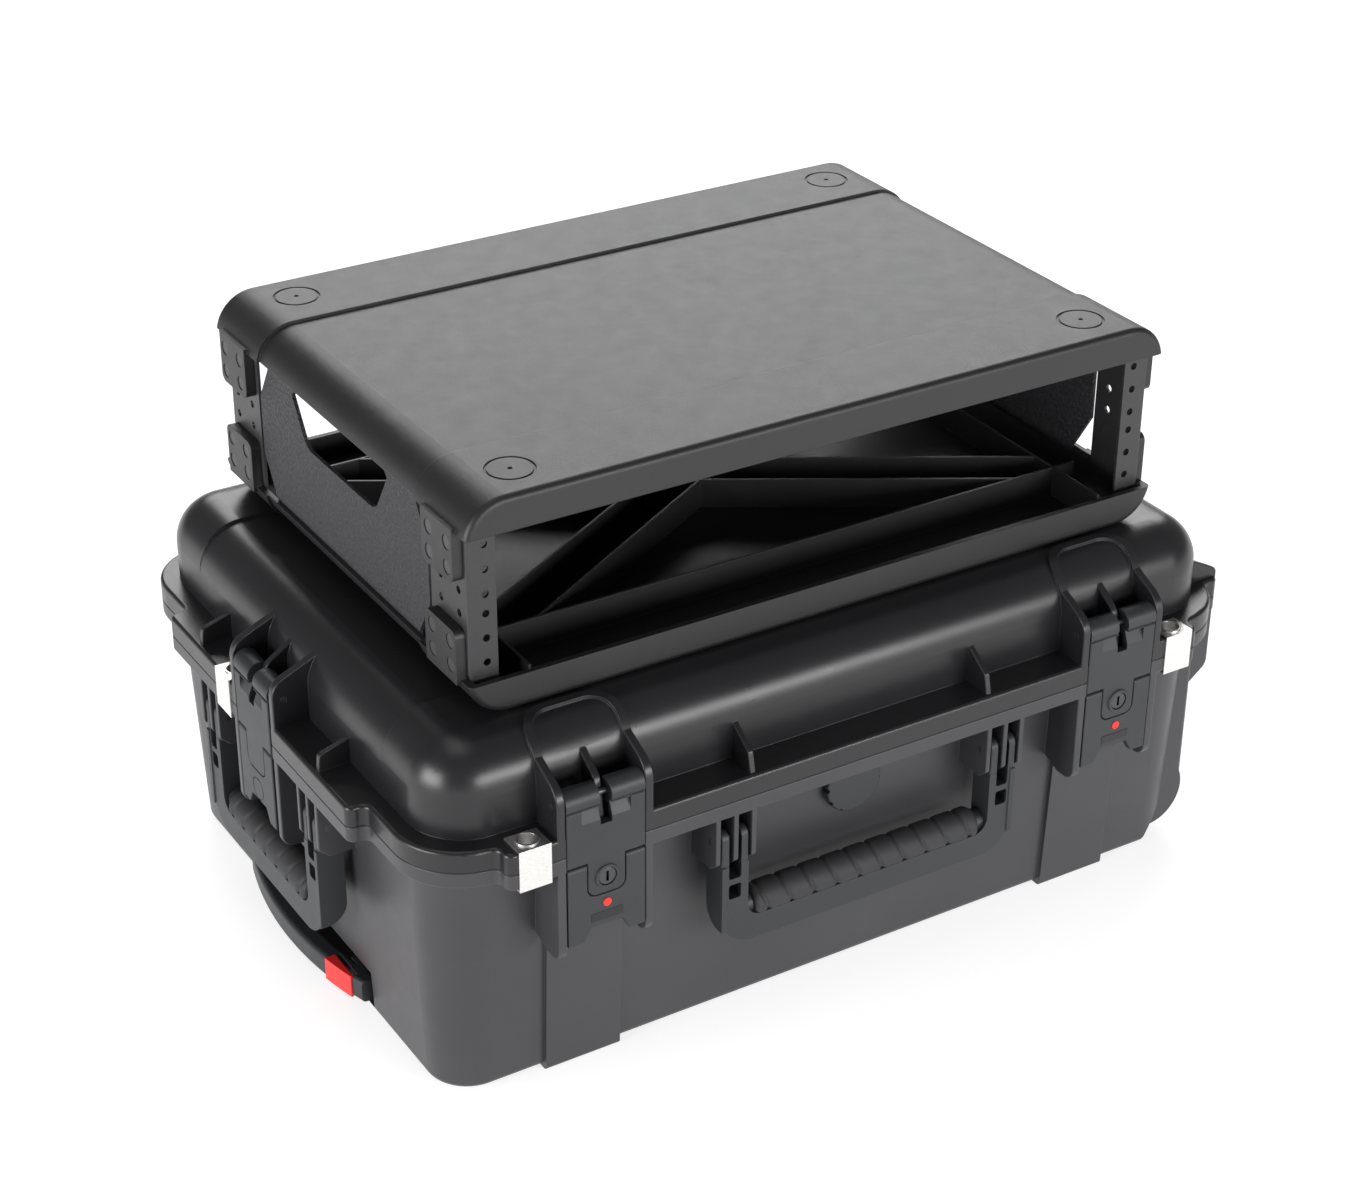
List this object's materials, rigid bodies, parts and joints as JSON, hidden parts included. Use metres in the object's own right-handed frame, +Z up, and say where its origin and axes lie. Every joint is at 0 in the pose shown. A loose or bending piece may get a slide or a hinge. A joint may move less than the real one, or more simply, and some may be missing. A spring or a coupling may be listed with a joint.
{
  "type": "equipment rack case",
  "caption": "Wheeled moulded equipment case with a hinged lid, draw latches, carry and pull handles, and a removable 19-inch rack cage standing on top.",
  "frame": {"origin": "middle of the resting face, under the case", "axes": "+Z up, -Y towards the front latches and carry handle, +X towards the wheels"},
  "size_m": [0.6224, 0.4569, 0.3832],
  "materials": {
    "case_plastic": "satin black moulded resin",
    "latch_plastic": "fine matte dark grey",
    "cage_plastic": "satin moulded plastic",
    "panel_plastic": "pebbled sheet",
    "grip_rubber": "soft matte",
    "rail_steel": "black powder coat",
    "rivet_steel": "black oxide",
    "bright_steel": "bright brushed",
    "pin_steel": "plain",
    "lock_metal": "black zinc",
    "red_plastic": "gloss red",
    "label_plate": "blank label",
    "tube_aluminium": "anodised",
    "wheel_tyre": "matte",
    "wheel_hub": "matte",
    "foam": "open-cell foam"
  },
  "bodies": {
    "base": {"base_shell": "case_plastic", "base_padlock_plates": "bright_steel", "latch_strike_pins": "pin_steel", "hinge_pins": "pin_steel", "front_handle_pins": "pin_steel", "side_handle_pins": "pin_steel", "pressure_valve": "latch_plastic", "pressure_valve_nut": "latch_plastic", "pull_handle_outer_tubes": "tube_aluminium", "inner_floor": "panel_plastic", "floor_screws": "pin_steel", "wheel_housings": "case_plastic", "wheel_axles": "pin_steel", "foam_corner_blocks": "foam"},
    "lid": {"lid_shell": "case_plastic", "lid_gasket": "grip_rubber", "lid_padlock_plates": "bright_steel", "latch_pivot_pins": "pin_steel", "lid_foam_pad": "foam"},
    "rack_cage": {"rack_top_shell": "cage_plastic", "rack_bottom_shell": "cage_plastic", "rack_front_rails": "rail_steel", "rack_rear_rails": "rail_steel", "rack_side_panels": "panel_plastic", "rack_rivets": "rivet_steel"},
    "front_handle": {"front_handle_frame": "latch_plastic", "front_handle_grip": "grip_rubber"},
    "side_handle": {"side_handle_frame": "latch_plastic", "side_handle_grip": "grip_rubber"},
    "pull_handle": {"pull_handle_bar": "latch_plastic", "pull_handle_inner_tubes": "tube_aluminium"},
    "pull_handle_middle": {"pull_handle_middle_tubes": "tube_aluminium"},
    "release_button": {"release_button": "red_plastic"},
    "front_wheel": {"front_wheel_tyre": "wheel_tyre", "front_wheel_hub": "wheel_hub"},
    "rear_wheel": {"rear_wheel_tyre": "wheel_tyre", "rear_wheel_hub": "wheel_hub"},
    "front_left_latch": {"front_left_latch": "latch_plastic", "front_left_trigger_pin": "pin_steel"},
    "front_left_trigger": {"front_left_trigger": "latch_plastic", "front_left_lock_indicator": "red_plastic", "front_left_lock_label": "label_plate"},
    "front_left_lock_plug": {"front_left_lock_plug": "lock_metal"},
    "front_right_latch": {"front_right_latch": "latch_plastic", "front_right_trigger_pin": "pin_steel"},
    "front_right_trigger": {"front_right_trigger": "latch_plastic", "front_right_lock_indicator": "red_plastic", "front_right_lock_label": "label_plate"},
    "front_right_lock_plug": {"front_right_lock_plug": "lock_metal"},
    "left_side_latch": {"left_side_latch": "latch_plastic", "left_side_trigger_pin": "pin_steel"},
    "left_side_trigger": {"left_side_trigger": "latch_plastic"},
    "right_side_latch": {"right_side_latch": "latch_plastic", "right_side_trigger_pin": "pin_steel"},
    "right_side_trigger": {"right_side_trigger": "latch_plastic"}
  },
  "joints": [
    {"name": "lid_hinge", "type": "hinge", "parent": "base", "child": "lid", "pos_m": [0, 0.2248, 0.146], "axis": [-1, 0, 0], "range_deg": [0, 100]},
    {"name": "rack_cage_lift", "type": "slide", "parent": "lid", "child": "rack_cage", "axis": [0, 0, 1], "range_m": [0, 0.2]},
    {"name": "front_left_latch_hinge", "type": "hinge", "parent": "lid", "child": "front_left_latch", "pos_m": [-0.1895, -0.2175, 0.208], "axis": [-1, 0, 0], "range_deg": [0, 110]},
    {"name": "front_left_trigger_hinge", "type": "hinge", "parent": "front_left_latch", "child": "front_left_trigger", "pos_m": [-0.1895, -0.2228, 0.1626], "axis": [-1, 0, 0], "range_deg": [0, 25], "stiffness_Nm_per_rad": 0.25},
    {"name": "front_left_lock_turn", "type": "hinge", "parent": "front_left_latch", "child": "front_left_lock_plug", "pos_m": [-0.1895, -0.225, 0.1543], "axis": [0, -1, 0], "range_deg": [0, 90]},
    {"name": "front_right_latch_hinge", "type": "hinge", "parent": "lid", "child": "front_right_latch", "pos_m": [0.1895, -0.2175, 0.208], "axis": [-1, 0, 0], "range_deg": [0, 110]},
    {"name": "front_right_trigger_hinge", "type": "hinge", "parent": "front_right_latch", "child": "front_right_trigger", "pos_m": [0.1895, -0.2228, 0.1626], "axis": [-1, 0, 0], "range_deg": [0, 25], "stiffness_Nm_per_rad": 0.25},
    {"name": "front_right_lock_turn", "type": "hinge", "parent": "front_right_latch", "child": "front_right_lock_plug", "pos_m": [0.1895, -0.225, 0.1543], "axis": [0, -1, 0], "range_deg": [0, 90]},
    {"name": "left_side_latch_hinge", "type": "hinge", "parent": "lid", "child": "left_side_latch", "pos_m": [-0.3025, 0, 0.208], "axis": [0, 1, 0], "range_deg": [0, 110]},
    {"name": "left_side_trigger_hinge", "type": "hinge", "parent": "left_side_latch", "child": "left_side_trigger", "pos_m": [-0.3078, 0, 0.1626], "axis": [0, 1, 0], "range_deg": [0, 25], "stiffness_Nm_per_rad": 0.25},
    {"name": "right_side_latch_hinge", "type": "hinge", "parent": "lid", "child": "right_side_latch", "pos_m": [0.3025, 0, 0.208], "axis": [0, -1, 0], "range_deg": [0, 110]},
    {"name": "right_side_trigger_hinge", "type": "hinge", "parent": "right_side_latch", "child": "right_side_trigger", "pos_m": [0.3078, 0, 0.1626], "axis": [0, -1, 0], "range_deg": [0, 25], "stiffness_Nm_per_rad": 0.25},
    {"name": "front_handle_hinge", "type": "hinge", "parent": "base", "child": "front_handle", "pos_m": [0, -0.218, 0.147], "axis": [-1, 0, 0], "range_deg": [0, 100]},
    {"name": "side_handle_hinge", "type": "hinge", "parent": "base", "child": "side_handle", "pos_m": [-0.303, 0, 0.147], "axis": [0, 1, 0], "range_deg": [0, 100]},
    {"name": "pull_handle_slide", "type": "slide", "parent": "base", "child": "pull_handle", "axis": [-1, 0, 0], "range_m": [0, 0.42]},
    {"name": "pull_handle_middle_slide", "type": "slide", "parent": "base", "child": "pull_handle_middle", "axis": [-1, 0, 0], "range_m": [0, 0.21]},
    {"name": "release_button_press", "type": "slide", "parent": "pull_handle", "child": "release_button", "axis": [1, 0, 0], "range_m": [0, 0.0025], "stiffness_N_per_m": 600},
    {"name": "front_wheel_spin", "type": "hinge", "parent": "base", "child": "front_wheel", "pos_m": [0.266, -0.162, 0.034], "axis": [0, 1, 0], "continuous": true},
    {"name": "rear_wheel_spin", "type": "hinge", "parent": "base", "child": "rear_wheel", "pos_m": [0.266, 0.162, 0.034], "axis": [0, 1, 0], "continuous": true}
  ],
  "couplings": [
    {"joint": "pull_handle_middle_slide", "follows": "pull_handle_slide", "ratio": 0.5}
  ]
}
